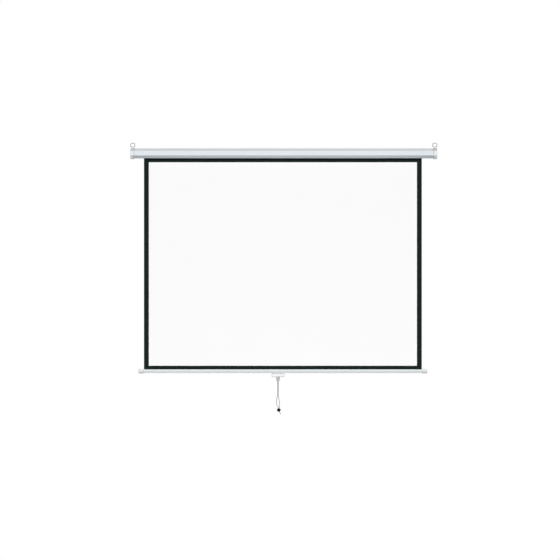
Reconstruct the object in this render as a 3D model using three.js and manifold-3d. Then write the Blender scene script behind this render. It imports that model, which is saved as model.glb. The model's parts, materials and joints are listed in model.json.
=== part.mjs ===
// Pull down projector screen, drawn open at its full drop.
// Lengths are in millimetres and +Z is up. The origin is the middle of the case's flat back, where the
// case meets a wall: +X runs to the viewer's right and +Y into the wall, so the picture faces -Y.
import * as THREE from 'three';
import { mergeVertices } from 'three/addons/utils/BufferGeometryUtils.js';
import Module from 'manifold-3d';

// Fits shared by all pieces
const fitGap = 0.3;
const pressGap = 0.15;
const runGap = 1;
const cutOver = 2;
const weldReach = 0.001;

// Counts of facets and turns
const bendSteps = 3;
const roundSides = 32;
const smallSides = 16;
const wireSides = 8;
const springSides = 5;
const stepsPerCoil = 8;
const springTurns = 36;
const stepsPerLayer = 24;
const ringSteps = 36;
const ringArcPoints = 4;
const strandSteps = 22;

// Cloth: a matt white picture with a black surround
const pictureWidth = 2032;
const pictureHeight = 1542;
const sideBorder = 37;
const topBorder = 30;
const bottomBorder = 28;
const clothThickness = 0.5;
const clothShift = -7;
const layerGap = 0.4;
const woundTurns = 2.25;

// Case: a steel sheet folded round the roller, open along a slot underneath
const caseOverCloth = 82;
const caseHeight = 74.7;
const caseDepth = 72;
const caseWall = 1.2;
const caseBend = 3.5;
const topBevelHeight = 20;
const topBevelDepth = 23;
const bottomBevelHeight = 20.5;
const bottomBevelDepth = 21;
const backBevel = 6;
const slotWidth = 15;
const lipHeight = 5;

// End caps and their screws
const capLength = 26;
const capEndWall = 4;
const capWall = 2.5;
const capProud = 1.5;
const capDrop = 5.5;
const capRound = 4;
const capPlugLength = 12;
const bossRadius = 4.6;
const bossDepths = [14, 60];
const bossHeights = [22, -8];
const screwRadius = 2;
const screwHeadRadius = 3.8;
const screwHeadHeight = 2.4;
const screwTip = 3;

// Hanging rings, bent from round wire, and the steel straps that hold them in the end caps
const ringWire = 5;
const ringWidth = 31;
const ringHeight = 27.5;
const ringFootCorner = 3.5;
const ringTopCorner = 10;
const ringSeam = 0.6;
const ringPivotRise = 12;
const strapThickness = 1.5;
const strapWidth = 14;
const strapInset = 8.7;
const strapFootReach = 5;
const flangeWidth = 30;
const flangeDrop = 18;
const flangeBack = 9;

// Steel plates that close the case's ends and carry the roller
const bracketThickness = 2;
const bladeThickness = 5;
const bladeReach = 4;

// Roller
const tubeRadius = 17;
const tubeWall = 1.5;
const rollerDepth = 38;
const rollerRise = 2;
const plugFlange = 4;
const plugBody = 30;

// Spring motor inside the roller's left end
const shaftRadius = 5;
const shaftLength = 500;
const springWire = 2.2;
const springRadius = 10.5;
const collarRadius = 13.5;
const collarLength = 12;
const supportLength = 14;

// Ratchet on the shaft and the two pawls that the roller carries round it
const notchCount = 4;
const ratchetRadius = 8.5;
const ratchetFloor = 6.2;
const ratchetThickness = 6;
const notchStopAngle = 2.02;
const notchRampAngle = 0.95;
const pawlThickness = 5;
const pawlPinRadius = 1.5;
const pawlPinHead = 2.6;
const pawlPinHeadHeight = 0.8;
const pawlHubRadius = 3;
const pawlPivotDepth = 8;
const pawlPivotRise = 10.5;
const latchTurn = 0.55;
const pawlReach = 11.5;
const pawlLift = 1.8;
const pawlArmHalf = 1.1;
const pawlNoseDrop = 1.2;
const pawlNoseWidth = 2.2;

// Idler at the roller's right end
const idlerRadius = 4;
const idlerHeadRadius = 8;
const idlerHeadHeight = 2;
const bushRadius = 6.5;
const bushLength = 24;

// Bottom bar
const barOverCloth = 4;
const barHeight = 28;
const barTopHalf = 8;
const barRidgeHalf = 12;
const barRidgeDrop = 11;
const barFootHalf = 6;
const barWall = 1.6;
const barBend = 2;
const barSlotWidth = 3;
const barCapLength = 37;
const barCapProud = 2;
const barCapRise = 5;
const barCapRound = 5;
const barPlugLength = 12;
const hemRodRadius = 3.5;
const weightRodRadius = 6;

// Pull handle under the bar
const handleOffset = -37;
const handleWidth = 98;
const handleHeight = 30;
const handleDepth = 23;
const handleRoundWidth = 6;
const handleRoundDepth = 9;
const handleCorner = 9;
const handleScrewInset = 15;
const handleScrewFlange = 8;

// Socket under the handle that holds the cord's top knot
const socketTopWidth = 33;
const socketFootWidth = 23;
const socketLength = 29;
const socketDepth = 22;
const socketRound = 3;
const socketCorner = 6;
const spigotRadius = 9.5;
const spigotLength = 14;

// Pull cord, doubled, with its ball and knots
const cordDiameter = 4.5;
const strandGap = 0.4;
const topKnotRadius = 7;
const topKnotRise = 9;
const ballRadius = 14;
const ballDrop = 220;
const ballShift = 6;
const ballBore = 5.2;
const endKnotRadius = 6.5;
const endKnotDrop = 9;
const tailLength = 19;
const tailSpread = 12;
const tailBulbRadius = 3.3;

// Places worked out from the sizes
const clothWidth = pictureWidth + 2 * sideBorder;
const caseLength = clothWidth + 2 * caseOverCloth;
const barLength = clothWidth + 2 * barOverCloth;
const caseTop = caseHeight / 2;
const caseFoot = -caseHeight / 2;
const caseEnd = caseLength / 2;
const layerPitch = clothThickness + layerGap;
const woundInner = tubeRadius + fitGap + clothThickness / 2;
const woundOuter = woundInner + woundTurns * layerPitch;
const clothY = -rollerDepth + woundOuter;
const clothTop = rollerRise - fitGap;
const pictureTop = caseFoot - topBorder;
const barTop = pictureTop - pictureHeight - bottomBorder;
const clothFoot = barTop - barWall;
const bracketOuter = caseEnd - capPlugLength - fitGap;
const bracketInner = bracketOuter - bracketThickness;
const ratchetOuter = bracketInner - runGap;
const ratchetInner = ratchetOuter - ratchetThickness;
const carrierFace = ratchetInner - runGap / 2;
const tubeLeft = -(carrierFace - plugFlange - fitGap);
const idlerFace = bracketInner - runGap;
const tubeRight = idlerFace - plugFlange - fitGap;
const tubeInner = tubeRadius - tubeWall;
const shaftOuter = bracketOuter + bladeReach;
const springStart = -(carrierFace - plugFlange - plugBody) + fitGap;
const supportStart = -shaftOuter + shaftLength - supportLength;
const collarStart = supportStart - runGap - collarLength;
const ringPivotZ = caseTop + ringPivotRise;
const strapX = caseEnd + fitGap + strapInset;
const capPocketTop = caseTop - caseWall - fitGap - capWall;
const handleX = clothShift + handleOffset;
const handleTop = barTop - barHeight - fitGap;
const barSlope = Math.atan((barRidgeHalf - barFootHalf) / (barHeight - barRidgeDrop));
const weightReach = weightRodRadius + fitGap + barWall;
const weightSeat = (weightReach / Math.cos(barSlope) - barFootHalf) / Math.tan(barSlope);
const weightRise = Math.max(weightReach, weightSeat);
const handleScrewSpread = handleWidth / 2 - handleScrewInset;
const socketTop = handleTop - handleHeight - fitGap;
const socketFoot = socketTop - socketLength;
const topKnotZ = socketFoot + topKnotRise;
const strandOffset = (cordDiameter + strandGap) / 2;
const ballX = handleX + ballShift;
const ballZ = socketFoot - ballDrop;

const wasm = await Module();
wasm.setup();

const axisX = new THREE.Vector3(1, 0, 0);
const axisY = new THREE.Vector3(0, 1, 0);
const axisZ = new THREE.Vector3(0, 0, 1);

// Turns a closed three.js geometry into a solid that can be joined and cut.
function toSolid(geometry) {
  const bare = geometry.clone();
  bare.deleteAttribute('normal');
  bare.deleteAttribute('uv');
  const welded = mergeVertices(bare, weldReach);
  return new wasm.Manifold(new wasm.Mesh({
    numProp: 3,
    vertProperties: new Float32Array(welded.attributes.position.array),
    triVerts: new Uint32Array(welded.index.array),
  }));
}

// Turns a solid back into a geometry with flat faces.
function toGeometry(solid) {
  const mesh = solid.getMesh();
  const geometry = new THREE.BufferGeometry();
  geometry.setAttribute('position', new THREE.BufferAttribute(mesh.vertProperties, 3));
  geometry.setIndex(new THREE.BufferAttribute(mesh.triVerts, 1));
  const flat = geometry.toNonIndexed();
  flat.computeVertexNormals();
  return flat;
}

// Joins the first list of pieces and cuts the second list out of the result.
function carve(kept, removed = []) {
  const asSolid = (piece) => (piece instanceof THREE.BufferGeometry ? toSolid(piece) : piece);
  let solid = asSolid(kept[0]);
  for (const piece of kept.slice(1)) solid = solid.add(asSolid(piece));
  for (const piece of removed) solid = solid.subtract(asSolid(piece));
  return solid;
}

// Gives the left-hand copy of a geometry its right-hand twin.
function mirrorX(geometry) {
  const twin = geometry.index ? geometry.toNonIndexed() : geometry.clone();
  const places = twin.attributes.position;
  for (let i = 0; i < places.count; i += 3) {
    const corners = [0, 2, 1].map((k) => new THREE.Vector3().fromBufferAttribute(places, i + k));
    corners.forEach((corner, k) => places.setXYZ(i + k, -corner.x, corner.y, corner.z));
  }
  twin.computeVertexNormals();
  return twin;
}

// Moves every edge of an outline inwards by the same distance.
function inset(corners, distance) {
  const sign = Math.sign(THREE.ShapeUtils.area(corners));
  const edges = corners.map((corner, i) => {
    const next = corners[(i + 1) % corners.length];
    const along = next.clone().sub(corner).normalize();
    const inward = new THREE.Vector2(-along.y, along.x).multiplyScalar(sign * distance);
    return { from: corner.clone().add(inward), along };
  });
  return edges.map((edge, i) => {
    const last = edges[(i + edges.length - 1) % edges.length];
    const gap = edge.from.clone().sub(last.from);
    const share = gap.cross(edge.along) / last.along.cross(edge.along);
    return last.from.clone().addScaledVector(last.along, share);
  });
}

// Draws an outline with its corners rounded.
function roundedShape(corners, radius) {
  const shape = new THREE.Shape();
  corners.forEach((corner, i) => {
    const last = corners[(i + corners.length - 1) % corners.length];
    const next = corners[(i + 1) % corners.length];
    const back = last.clone().sub(corner);
    const ahead = next.clone().sub(corner);
    const halfTurn = (Math.PI - Math.abs(back.angleTo(ahead))) / 2;
    const reach = Math.min(radius * Math.tan(halfTurn), back.length() / 2, ahead.length() / 2);
    const enter = corner.clone().addScaledVector(back.normalize(), reach);
    const leave = corner.clone().addScaledVector(ahead.normalize(), reach);
    if (i === 0) shape.moveTo(enter.x, enter.y);
    else shape.lineTo(enter.x, enter.y);
    shape.quadraticCurveTo(corner.x, corner.y, leave.x, leave.y);
  });
  shape.closePath();
  return shape;
}

// Extrudes an outline given in depth and height along X, from x = 0 to the length.
function extrudeX(shape, length, options = {}) {
  const settings = { depth: length, curveSegments: bendSteps, bevelEnabled: false, ...options };
  const geometry = new THREE.ExtrudeGeometry(shape, settings);
  return geometry.applyMatrix4(new THREE.Matrix4().makeBasis(axisY, axisZ, axisX));
}

// Extrudes an outline given in width and height towards the viewer, from y = 0.
function extrudeY(shape, length, options = {}) {
  const settings = { depth: length, curveSegments: bendSteps, bevelEnabled: false, ...options };
  const geometry = new THREE.ExtrudeGeometry(shape, settings);
  return geometry.applyMatrix4(new THREE.Matrix4().makeBasis(axisX, axisZ, axisY.clone().negate()));
}

// Settings for an extrusion whose ends are rounded over without growing its outline.
function roundedEnds(width, depth = width) {
  return {
    bevelEnabled: true,
    bevelThickness: depth,
    bevelSize: width,
    bevelOffset: -width,
    bevelSegments: bendSteps,
  };
}

// Turns a profile of [place along X, radius] pairs about the X axis.
function turnX(profile, sides = roundSides) {
  const points = profile.map(([place, radius]) => new THREE.Vector2(radius, place));
  const geometry = new THREE.LatheGeometry(points, sides);
  return geometry.applyMatrix4(new THREE.Matrix4().makeBasis(axisY, axisX, axisZ.clone().negate()));
}

// A plain round bar along X.
function rodX(start, end, radius, sides = roundSides) {
  return turnX([[start, 0], [start, radius], [end, radius], [end, 0]], sides);
}

// A round sleeve along X.
function sleeveX(start, end, inner, outer, sides = roundSides) {
  return turnX([[start, inner], [start, outer], [end, outer], [end, inner], [start, inner]], sides);
}

// A box given by its lowest and highest corners.
function block(low, high) {
  const size = high.map((value, i) => value - low[i]);
  const middle = high.map((value, i) => (value + low[i]) / 2);
  return new THREE.BoxGeometry(...size).translate(...middle);
}

// A round tube along a curve.
function tubeAlong(curve, diameter, steps, sides) {
  const section = new THREE.Shape();
  for (let i = 0; i < sides; i += 1) {
    const angle = (2 * Math.PI * i) / sides;
    const x = (Math.cos(angle) * diameter) / 2;
    const y = (Math.sin(angle) * diameter) / 2;
    if (i === 0) section.moveTo(x, y);
    else section.lineTo(x, y);
  }
  section.closePath();
  return new THREE.ExtrudeGeometry(section, { steps, extrudePath: curve, bevelEnabled: false });
}

// Corners of the case's section as depth and height: flat back, bevelled top, front and foot.
function caseCorners(proud, drop) {
  const top = caseTop + proud;
  const foot = caseFoot - drop;
  const front = -caseDepth - proud;
  return [
    new THREE.Vector2(0, foot + backBevel),
    new THREE.Vector2(0, top - backBevel),
    new THREE.Vector2(-backBevel, top),
    new THREE.Vector2(front + topBevelDepth, top),
    new THREE.Vector2(front, caseTop - topBevelHeight),
    new THREE.Vector2(front, caseFoot + bottomBevelHeight),
    new THREE.Vector2(front + bottomBevelDepth, foot),
    new THREE.Vector2(-backBevel, foot),
  ];
}

function buildCaseShell() {
  const outer = extrudeX(roundedShape(caseCorners(0, 0), caseBend), caseLength);
  const inner = roundedShape(inset(caseCorners(0, 0), caseWall), caseBend - caseWall);
  const hollow = extrudeX(inner, caseLength + 2 * cutOver).translate(-cutOver, 0, 0);
  const slotFront = clothY - slotWidth / 2;
  const slotBack = clothY + slotWidth / 2;
  const lipStart = caseEnd - bracketInner + fitGap;
  const lips = [slotFront - caseWall, slotBack].map((y) => block(
    [lipStart, y, caseFoot],
    [caseLength - lipStart, y + caseWall, caseFoot + lipHeight],
  ));
  const slot = block(
    [-cutOver, slotFront, caseFoot - cutOver],
    [caseLength + cutOver, slotBack, caseFoot + lipHeight],
  );
  const shell = carve([carve([outer], [hollow]), ...lips], [slot]);
  return toGeometry(shell).translate(-caseEnd, 0, 0);
}

// Left end cap. Its own x = 0 is the outer end face and its plug points along +X.
function buildEndCap() {
  const plugEnd = capLength + capPlugLength;
  const skin = roundedShape(caseCorners(capProud, capDrop), capRound + capProud);
  const blank = extrudeX(skin, capLength + cutOver, roundedEnds(capRound)).translate(capRound, 0, 0);
  const trim = block([capLength, -caseDepth * 2, -caseHeight], [caseLength, caseDepth, caseHeight]);
  const plugCorners = inset(caseCorners(0, 0), caseWall + fitGap);
  const plugShape = roundedShape(plugCorners, caseBend - caseWall);
  const plug = extrudeX(plugShape, plugEnd - capEndWall).translate(capEndWall, 0, 0);
  const pocketShape = roundedShape(inset(plugCorners, capWall), caseBend - caseWall);
  const pocket = extrudeX(pocketShape, plugEnd).translate(capEndWall, 0, 0);
  const strapStart = capLength - strapInset - strapWidth / 2;
  const halfSlot = strapThickness + fitGap;
  const slot = block(
    [strapStart - fitGap, -rollerDepth - halfSlot, capPocketTop - cutOver],
    [strapStart + strapWidth + fitGap, -rollerDepth + halfSlot, caseHeight],
  );
  const bosses = [];
  const bores = [];
  bossDepths.forEach((depth, i) => {
    const place = [0, -depth, bossHeights[i]];
    bosses.push(rodX(capEndWall / 2, plugEnd, bossRadius, smallSides).translate(...place));
    bores.push(rodX(-cutOver, plugEnd + cutOver, screwRadius + fitGap, smallSides).translate(...place));
    const recessEnd = screwHeadHeight + fitGap;
    bores.push(rodX(-cutOver, recessEnd, screwHeadRadius + fitGap, smallSides).translate(...place));
  });
  const shell = carve([carve([blank], [trim]), plug], [pocket]);
  return toGeometry(carve([shell, ...bosses], [...bores, slot]));
}

// Flange of the strap, in the strap's own place: it follows the cap's top and front bevel.
function strapFlange() {
  const skin = (gap) => {
    const corners = inset(caseCorners(capProud, capDrop), -gap);
    return roundedShape(corners, capRound + capProud + gap);
  };
  const outer = extrudeX(skin(fitGap + strapThickness), flangeWidth);
  const inner = extrudeX(skin(fitGap), flangeWidth + 2 * cutOver).translate(-cutOver, 0, 0);
  const reach = block(
    [0, -caseDepth - caseHeight, caseTop - flangeDrop],
    [flangeWidth, -rollerDepth + flangeBack, ringPivotZ],
  );
  const flange = carve([outer], [inner]).intersect(toSolid(reach));
  return flange.translate((strapWidth - flangeWidth) / 2, rollerDepth, 0);
}

// Strap folded round the ring's foot: its legs pass through the cap's top and are bent out below it.
function buildStrap() {
  const eye = ringWire / 2 + fitGap;
  const fold = eye + strapThickness;
  const turn = Math.asin(strapThickness / fold);
  const footTop = capPocketTop - fitGap;
  const footHalf = strapThickness + strapFootReach;
  const shape = new THREE.Shape();
  shape.moveTo(footHalf, footTop - strapThickness);
  shape.lineTo(-footHalf, footTop - strapThickness);
  shape.lineTo(-footHalf, footTop);
  shape.lineTo(-strapThickness, footTop);
  shape.absarc(0, ringPivotZ, fold, -Math.PI / 2 - turn, -Math.PI / 2 + turn, true);
  shape.lineTo(strapThickness, footTop);
  shape.lineTo(footHalf, footTop);
  shape.closePath();
  shape.holes.push(new THREE.Path().absarc(0, ringPivotZ, eye, 0, 2 * Math.PI, false));
  const loop = extrudeX(shape, strapWidth, { curveSegments: smallSides });
  const webOver = (flangeWidth - strapWidth) / 2;
  const web = block(
    [-webOver, -strapThickness, caseTop + capProud + fitGap],
    [strapWidth + webOver, strapThickness, ringPivotZ - ringWire / 2 - runGap],
  );
  return toGeometry(carve([loop, web, strapFlange()]));
}

// A pan head screw along +X with its head's outer face at x = 0.
function buildScrew(length) {
  const crown = screwHeadRadius / 2;
  return turnX([
    [0, 0],
    [0, crown],
    [screwHeadHeight / 2, screwHeadRadius],
    [screwHeadHeight, screwHeadRadius],
    [screwHeadHeight, screwRadius],
    [length - screwRadius, screwRadius],
    [length, 0],
  ], smallSides);
}

// Plate inside the case's end. The opening for the shaft or the idler is given as a solid to cut.
function buildBracket(opening) {
  const outline = roundedShape(inset(caseCorners(0, 0), caseWall + fitGap), caseBend - caseWall);
  const plate = extrudeX(outline, bracketThickness);
  const holes = bossDepths.map((depth, i) => rodX(
    -cutOver,
    bracketThickness + cutOver,
    screwRadius + fitGap,
    smallSides,
  ).translate(0, -depth, bossHeights[i]));
  return toGeometry(carve([plate], [opening, ...holes]));
}

function bladeOpening() {
  const halfBlade = bladeThickness / 2 + fitGap;
  const halfShaft = shaftRadius + fitGap;
  return block(
    [-cutOver, -rollerDepth - halfBlade, rollerRise - halfShaft],
    [bracketThickness + cutOver, -rollerDepth + halfBlade, rollerRise + halfShaft],
  );
}

function idlerOpening() {
  return rodX(-cutOver, bracketThickness + cutOver, idlerRadius + fitGap, smallSides)
    .translate(0, -rollerDepth, rollerRise);
}

// Fixed shaft: its flattened blade sits in the left bracket and keeps it from turning.
function buildShaft() {
  const bladeLength = bladeReach + bracketThickness + fitGap;
  const bar = rodX(0, shaftLength, shaftRadius, smallSides);
  const flats = [-1, 1].map((side) => block(
    [-cutOver, Math.min(side * bladeThickness / 2, side * shaftRadius * 2), -shaftRadius * 2],
    [bladeLength, Math.max(side * bladeThickness / 2, side * shaftRadius * 2), shaftRadius * 2],
  ));
  return toGeometry(carve([bar], flats));
}

// Outline of the ratchet: each notch has a steep stop and a ramp back up to the rim.
function ratchetShape() {
  const shape = new THREE.Shape();
  const pitch = (2 * Math.PI) / notchCount;
  for (let i = 0; i < notchCount; i += 1) {
    const stop = notchStopAngle + i * pitch;
    const ramp = stop + pitch - notchRampAngle;
    if (i === 0) shape.moveTo(ratchetFloor * Math.cos(stop), ratchetFloor * Math.sin(stop));
    else shape.lineTo(ratchetFloor * Math.cos(stop), ratchetFloor * Math.sin(stop));
    shape.lineTo(ratchetRadius * Math.cos(stop), ratchetRadius * Math.sin(stop));
    shape.absarc(0, 0, ratchetRadius, stop, ramp, false);
  }
  shape.closePath();
  return shape;
}

function buildRatchet() {
  const disc = extrudeX(ratchetShape(), ratchetThickness);
  const bore = rodX(-cutOver, ratchetThickness + cutOver, shaftRadius + pressGap, smallSides);
  return toGeometry(carve([disc], [bore]));
}

// Pawl drawn lifted clear of the ratchet, with its pivot at the origin and its nose towards -Y.
function buildPawl() {
  const tip = new THREE.Vector2(-pawlReach, pawlLift - pawlArmHalf - pawlNoseDrop);
  const hubTurn = Math.asin(pawlArmHalf / pawlHubRadius) + Math.atan2(pawlLift, pawlReach);
  const shape = new THREE.Shape();
  shape.moveTo(tip.x, tip.y);
  shape.lineTo(tip.x + pawlNoseWidth, pawlLift * (1 - pawlNoseWidth / pawlReach) - pawlArmHalf);
  shape.absarc(0, 0, pawlHubRadius, Math.PI + hubTurn / 2, Math.PI - hubTurn, false);
  shape.lineTo(-pawlReach, pawlLift + pawlArmHalf);
  shape.closePath();
  const arm = extrudeX(shape, pawlThickness, { curveSegments: smallSides });
  const bore = rodX(-cutOver, pawlThickness + cutOver, pawlPinRadius + fitGap / 2, smallSides);
  return toGeometry(carve([arm], [bore]));
}

// Left plug of the roller: it turns on the shaft and carries the pawl pins on its outer face.
function buildPawlCarrier() {
  const bore = shaftRadius + fitGap;
  const body = turnX([
    [0, bore],
    [0, tubeRadius],
    [plugFlange, tubeRadius],
    [plugFlange, tubeInner - pressGap],
    [plugFlange + plugBody, tubeInner - pressGap],
    [plugFlange + plugBody, bore],
    [0, bore],
  ]);
  const holes = [1, -1].map((side) => rodX(
    -cutOver,
    plugFlange,
    pawlPinRadius + pressGap,
    smallSides,
  ).translate(0, side * pawlPivotDepth, side * pawlPivotRise));
  return toGeometry(carve([body], holes));
}

// Headed pin, from the bottom of its hole in the carrier to its head outside the pawl.
function buildPawlPin() {
  const headStart = -(pawlThickness + 2 * fitGap);
  return turnX([
    [headStart - pawlPinHeadHeight, 0],
    [headStart - pawlPinHeadHeight, pawlPinHead],
    [headStart, pawlPinHead],
    [headStart, pawlPinRadius],
    [plugFlange - fitGap, pawlPinRadius],
    [plugFlange - fitGap, 0],
  ], smallSides);
}

// Helix for the torsion spring, from x = 0 to its length.
class SpringPath extends THREE.Curve {
  constructor(length) {
    super();
    this.length = length;
  }

  getPoint(share) {
    const angle = 2 * Math.PI * springTurns * share;
    const x = this.length * share;
    return new THREE.Vector3(x, springRadius * Math.cos(angle), springRadius * Math.sin(angle));
  }
}

function buildSpring() {
  const length = collarStart - springStart - 2 * fitGap - springWire;
  const path = new SpringPath(length);
  return tubeAlong(path, springWire, springTurns * stepsPerCoil, springSides);
}

// Layers of cloth left on the roller: a spiral that starts where the hanging cloth leaves it.
function buildWoundCloth() {
  const shape = new THREE.Shape();
  const steps = Math.round(woundTurns * stepsPerLayer);
  const spiral = (i, side) => {
    const angle = (2 * Math.PI * woundTurns * i) / steps;
    const radius = woundOuter - (layerPitch * woundTurns * i) / steps + (side * clothThickness) / 2;
    return new THREE.Vector2(radius * Math.cos(angle), radius * Math.sin(angle));
  };
  for (let i = 0; i <= steps; i += 1) {
    const point = spiral(i, 1);
    if (i === 0) shape.moveTo(point.x, point.y);
    else shape.lineTo(point.x, point.y);
  }
  for (let i = steps; i >= 0; i -= 1) {
    const point = spiral(i, -1);
    shape.lineTo(point.x, point.y);
  }
  shape.closePath();
  return extrudeX(shape, clothWidth);
}

// Rectangle in width and height.
function rectangle(path, left, right, foot, top) {
  path.moveTo(left, foot);
  path.lineTo(right, foot);
  path.lineTo(right, top);
  path.lineTo(left, top);
  path.closePath();
  return path;
}

function buildBlackBorder() {
  const half = clothWidth / 2;
  const shape = rectangle(new THREE.Shape(), -half, half, clothFoot, clothTop);
  const halfPicture = pictureWidth / 2 + fitGap;
  const pictureFoot = pictureTop - pictureHeight;
  const holeFoot = pictureFoot - fitGap;
  const hole = rectangle(new THREE.Path(), -halfPicture, halfPicture, holeFoot, pictureTop + fitGap);
  shape.holes.push(hole);
  return extrudeY(shape, clothThickness);
}

// Wire ring, standing up from its pivot, with rounded corners and its seam hidden inside the strap.
function buildRing() {
  const halfWide = ringWidth / 2;
  const straight = [ringSeam / 2, strapWidth / 4, strapWidth / 2];
  const half = straight.map((x) => new THREE.Vector3(x, 0, 0));
  const addCorner = (radius, z, start) => {
    for (let i = 0; i <= ringArcPoints; i += 1) {
      const angle = start + (Math.PI * i) / (2 * ringArcPoints);
      const x = halfWide - radius + radius * Math.cos(angle);
      half.push(new THREE.Vector3(x, 0, z + radius * Math.sin(angle)));
    }
  };
  addCorner(ringFootCorner, ringFootCorner, -Math.PI / 2);
  half.push(new THREE.Vector3(halfWide, 0, (ringFootCorner + ringHeight - ringTopCorner) / 2));
  addCorner(ringTopCorner, ringHeight - ringTopCorner, 0);
  const other = half.slice().reverse().map((point) => new THREE.Vector3(-point.x, 0, point.z));
  const path = new THREE.CatmullRomCurve3([...half, ...other], false, 'centripetal');
  return tubeAlong(path, ringWire, ringSteps, wireSides);
}

// Corners of the bottom bar's section, with the bar's own top edge at height 0.
function barCorners(proud, rise) {
  return [
    new THREE.Vector2(-barTopHalf - proud, rise),
    new THREE.Vector2(-barRidgeHalf - proud, -barRidgeDrop),
    new THREE.Vector2(-barFootHalf - proud, -barHeight - proud),
    new THREE.Vector2(barFootHalf + proud, -barHeight - proud),
    new THREE.Vector2(barRidgeHalf + proud, -barRidgeDrop),
    new THREE.Vector2(barTopHalf + proud, rise),
  ];
}

function buildBottomBar() {
  const outer = extrudeX(roundedShape(barCorners(0, 0), barBend), barLength);
  const inner = roundedShape(inset(barCorners(0, 0), barWall), barBend);
  const hollow = extrudeX(inner, barLength + 2 * cutOver).translate(-cutOver, 0, 0);
  const halfSlot = barSlotWidth / 2;
  const slot = block([-cutOver, -halfSlot, -barWall * 2], [barLength + cutOver, halfSlot, cutOver]);
  const holeRadius = screwRadius + fitGap;
  const drill = new THREE.CylinderGeometry(holeRadius, holeRadius, barWall * 4, smallSides);
  drill.rotateX(Math.PI / 2);
  const holes = [-1, 1].map((side) => drill.clone().translate(
    barLength / 2 + handleOffset + side * handleScrewSpread,
    0,
    -barHeight,
  ));
  return toGeometry(carve([outer], [hollow, slot, ...holes]));
}

// Left cap of the bottom bar. Its own x = 0 is the outer end and its plug points along +X.
function buildBarCap() {
  const skin = roundedShape(barCorners(barCapProud, barCapRise), barCapRound + barCapProud);
  const blank = extrudeX(skin, barCapLength + cutOver, roundedEnds(barCapRound));
  blank.translate(barCapRound, 0, 0);
  const trim = block([barCapLength, -barHeight, -barHeight * 2], [barLength, barHeight, barHeight]);
  const plugShape = roundedShape(inset(barCorners(0, 0), barWall + fitGap), barBend);
  const plug = extrudeX(plugShape, barPlugLength + barCapRound);
  plug.translate(barCapLength - barCapRound, 0, 0);
  return toGeometry(carve([carve([blank], [trim]), plug]));
}

// Upright cylinder between two heights.
function rodZ(foot, top, radius, sides = smallSides) {
  const rod = new THREE.CylinderGeometry(radius, radius, top - foot, sides);
  return rod.rotateX(Math.PI / 2).translate(0, 0, (foot + top) / 2);
}

// Handle: a soft edged bar, screwed up into the bottom bar, with a bore below for the socket.
function buildHandle() {
  const halfWide = handleWidth / 2;
  const corners = [
    new THREE.Vector2(-halfWide, 0),
    new THREE.Vector2(-halfWide, -handleHeight),
    new THREE.Vector2(halfWide, -handleHeight),
    new THREE.Vector2(halfWide, 0),
  ];
  const flat = handleDepth - 2 * handleRoundDepth;
  const ends = roundedEnds(handleRoundWidth, handleRoundDepth);
  const body = extrudeY(roundedShape(corners, handleCorner), flat, ends).translate(0, flat / 2, 0);
  const spigotTop = -handleHeight + spigotLength;
  const removed = [rodZ(-handleHeight - cutOver, spigotTop, spigotRadius + pressGap, roundSides)];
  for (const side of [-1, 1]) {
    const place = [side * handleScrewSpread, 0, 0];
    const recess = rodZ(-handleHeight - cutOver, -handleScrewFlange, screwHeadRadius + fitGap);
    removed.push(rodZ(-handleHeight, cutOver, screwRadius + fitGap).translate(...place));
    removed.push(recess.translate(...place));
  }
  return toGeometry(carve([body], removed));
}

// Well with a round bottom: a half ball below a cylinder.
function roundWell(middle, top, radius) {
  const profile = [];
  for (let i = 0; i <= smallSides / 2; i += 1) {
    const angle = (Math.PI * i) / smallSides;
    profile.push(new THREE.Vector2(radius * Math.sin(angle), middle - radius * Math.cos(angle)));
  }
  profile.push(new THREE.Vector2(radius, top), new THREE.Vector2(0, top));
  return new THREE.LatheGeometry(profile, roundSides).rotateX(Math.PI / 2);
}

// Socket under the handle: a tapered moulding whose well holds the knot and whose foot lets the cord swing.
// Its spigot is pressed into the handle.
function buildSocket() {
  const halfTop = socketTopWidth / 2;
  const halfFoot = socketFootWidth / 2;
  const corners = [
    new THREE.Vector2(-halfTop, 0),
    new THREE.Vector2(-halfFoot, -socketLength),
    new THREE.Vector2(halfFoot, -socketLength),
    new THREE.Vector2(halfTop, 0),
  ];
  const flat = socketDepth - 2 * socketRound;
  const body = extrudeY(roundedShape(corners, socketCorner), flat, roundedEnds(socketRound));
  body.translate(0, flat / 2, 0);
  const spigot = rodZ(-socketRound, spigotLength - fitGap, spigotRadius, roundSides);
  const knotZ = -socketLength + topKnotRise;
  const well = roundWell(knotZ, spigotLength + cutOver, topKnotRadius + fitGap);
  const halfGroove = cordDiameter / 2 + fitGap;
  const groove = block(
    [-socketTopWidth, -halfGroove, -socketLength - cutOver],
    [socketTopWidth, halfGroove, knotZ + halfGroove],
  );
  return toGeometry(carve([body, spigot], [well, groove]));
}

// Route of one strand of the doubled cord, from the knot in the handle down into the ball.
function strandPath(side) {
  const top = -topKnotRadius - fitGap;
  const leftSpreads = [-2.5, -2.7, -4.4, -8, -10.6, -11.5, -11, -7.4, -1.8, 2.6];
  const rightSpreads = [2.5, 2.7, 3.8, 5.8, 7.8, 9.6, 11.6, 12.6, 11.6, 9.2];
  const drops = [106, 118, 127, 138, 150, 165, 181, 194, 203, 209];
  const spreads = side < 0 ? leftSpreads : rightSpreads;
  const points = [new THREE.Vector3(side * strandOffset, 0, top)];
  points.push(new THREE.Vector3(side * strandOffset, 0, top - topKnotRise));
  points.push(new THREE.Vector3(side * strandOffset, 0, -drops[0] / 2));
  spreads.forEach((spread, i) => points.push(new THREE.Vector3(spread, 0, -drops[i])));
  const ballMiddle = ballZ - topKnotZ;
  const knotTop = ballMiddle - endKnotDrop + endKnotRadius + fitGap;
  points.push(new THREE.Vector3(ballShift + side * strandOffset, 0, ballMiddle + ballRadius));
  points.push(new THREE.Vector3(ballShift + side * strandOffset, 0, knotTop));
  return new THREE.CatmullRomCurve3(points, false, 'centripetal');
}

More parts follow.
